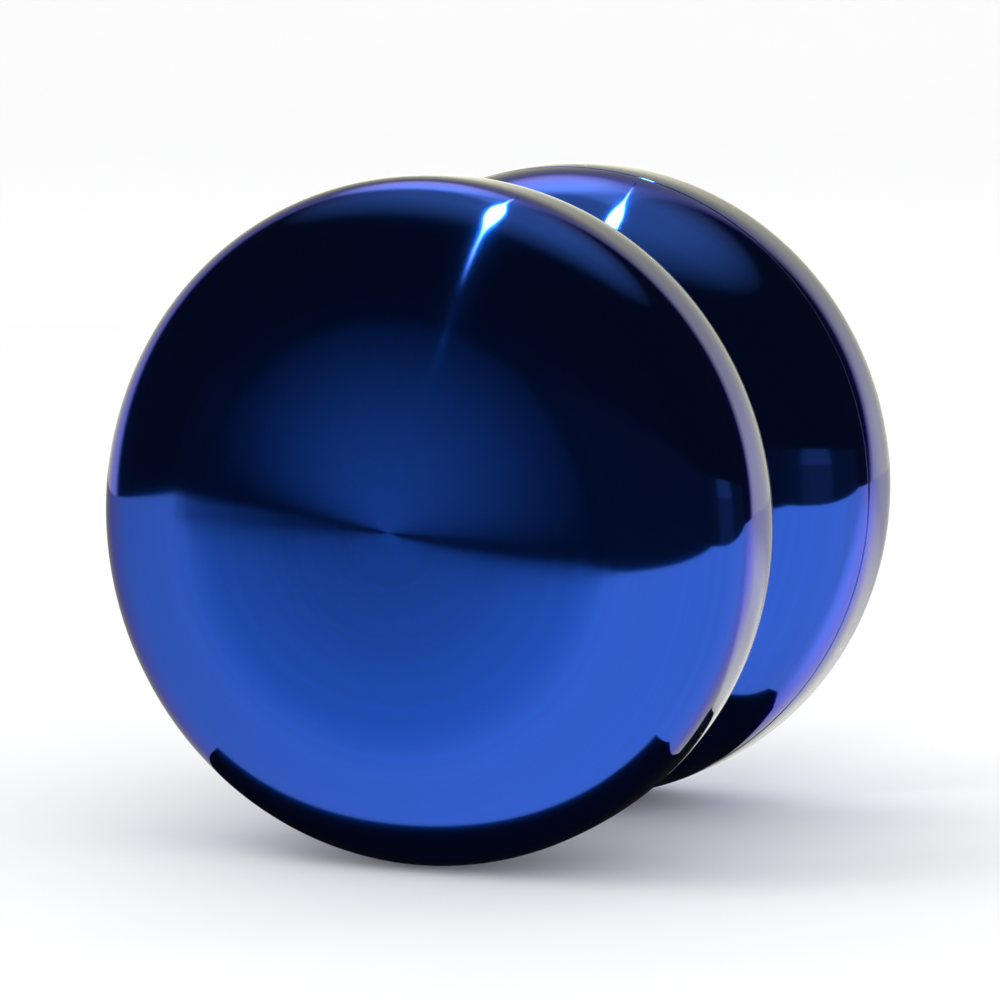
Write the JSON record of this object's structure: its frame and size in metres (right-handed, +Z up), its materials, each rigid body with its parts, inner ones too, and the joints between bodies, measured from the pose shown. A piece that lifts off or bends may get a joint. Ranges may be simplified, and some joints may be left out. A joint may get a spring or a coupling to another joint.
{
  "type": "yo-yo",
  "caption": "Wide rounded yo-yo with two hollow blue metal halves that spin on a shielded ball bearing, with a curved string gap between them.",
  "frame": {"origin": "middle of the axle, halfway between the two halves", "axes": "+Y along the spin axis toward half B, +Z up"},
  "size_m": [0.054, 0.0506, 0.054],
  "materials": {
    "blue_anodised": "bright blue anodised over fine circular turning",
    "stud_steel": "black oxide",
    "bush_brass": "turned",
    "plain_aluminium": "turned",
    "silicone": "matt silicone",
    "ring_steel": "ground",
    "cage_brass": "pressed",
    "ball_steel": "mirror polished",
    "shield_steel": "pressed",
    "clip_steel": "spring steel"
  },
  "bodies": {
    "string_ring": {"bearing_outer_ring": "ring_steel", "bearing_shield_a": "shield_steel", "bearing_shield_b": "shield_steel", "bearing_clip_a": "clip_steel", "bearing_clip_b": "clip_steel"},
    "halves": {"cap_a": "blue_anodised", "cap_b": "blue_anodised", "cup_a": "blue_anodised", "cup_b": "blue_anodised", "axle_stud": "stud_steel", "axle_bush_a": "bush_brass", "axle_bush_b": "bush_brass", "spacer_a": "plain_aluminium", "spacer_b": "plain_aluminium", "response_pad_a": "silicone", "response_pad_b": "silicone", "bearing_inner_ring": "ring_steel"},
    "ball_cage": {"bearing_cage": "cage_brass"},
    "ball_1": {"bearing_ball_1": "ball_steel"},
    "ball_2": {"bearing_ball_2": "ball_steel"},
    "ball_3": {"bearing_ball_3": "ball_steel"},
    "ball_4": {"bearing_ball_4": "ball_steel"},
    "ball_5": {"bearing_ball_5": "ball_steel"},
    "ball_6": {"bearing_ball_6": "ball_steel"},
    "ball_7": {"bearing_ball_7": "ball_steel"},
    "ball_8": {"bearing_ball_8": "ball_steel"}
  },
  "joints": [
    {"name": "halves_spin", "type": "hinge", "parent": "string_ring", "child": "halves", "pos_m": [0, 0, 0], "axis": [0, 1, 0], "continuous": true},
    {"name": "cage_spin", "type": "hinge", "parent": "string_ring", "child": "ball_cage", "pos_m": [0, 0, 0], "axis": [0, 1, 0], "continuous": true},
    {"name": "ball_1_roll", "type": "hinge", "parent": "ball_cage", "child": "ball_1", "pos_m": [0.0044, 0, -0.00182], "axis": [0, 1, 0], "continuous": true},
    {"name": "ball_2_roll", "type": "hinge", "parent": "ball_cage", "child": "ball_2", "pos_m": [0.00182, 0, -0.0044], "axis": [0, 1, 0], "continuous": true},
    {"name": "ball_3_roll", "type": "hinge", "parent": "ball_cage", "child": "ball_3", "pos_m": [-0.00182, 0, -0.0044], "axis": [0, 1, 0], "continuous": true},
    {"name": "ball_4_roll", "type": "hinge", "parent": "ball_cage", "child": "ball_4", "pos_m": [-0.0044, 0, -0.00182], "axis": [0, 1, 0], "continuous": true},
    {"name": "ball_5_roll", "type": "hinge", "parent": "ball_cage", "child": "ball_5", "pos_m": [-0.0044, 0, 0.00182], "axis": [0, 1, 0], "continuous": true},
    {"name": "ball_6_roll", "type": "hinge", "parent": "ball_cage", "child": "ball_6", "pos_m": [-0.00182, 0, 0.0044], "axis": [0, 1, 0], "continuous": true},
    {"name": "ball_7_roll", "type": "hinge", "parent": "ball_cage", "child": "ball_7", "pos_m": [0.00182, 0, 0.0044], "axis": [0, 1, 0], "continuous": true},
    {"name": "ball_8_roll", "type": "hinge", "parent": "ball_cage", "child": "ball_8", "pos_m": [0.0044, 0, 0.00182], "axis": [0, 1, 0], "continuous": true}
  ],
  "couplings": [
    {"joint": "cage_spin", "follows": "halves_spin", "ratio": 0.4167},
    {"joint": "ball_1_roll", "follows": "halves_spin", "ratio": -2.9167},
    {"joint": "ball_2_roll", "follows": "halves_spin", "ratio": -2.9167},
    {"joint": "ball_3_roll", "follows": "halves_spin", "ratio": -2.9167},
    {"joint": "ball_4_roll", "follows": "halves_spin", "ratio": -2.9167},
    {"joint": "ball_5_roll", "follows": "halves_spin", "ratio": -2.9167},
    {"joint": "ball_6_roll", "follows": "halves_spin", "ratio": -2.9167},
    {"joint": "ball_7_roll", "follows": "halves_spin", "ratio": -2.9167},
    {"joint": "ball_8_roll", "follows": "halves_spin", "ratio": -2.9167}
  ]
}
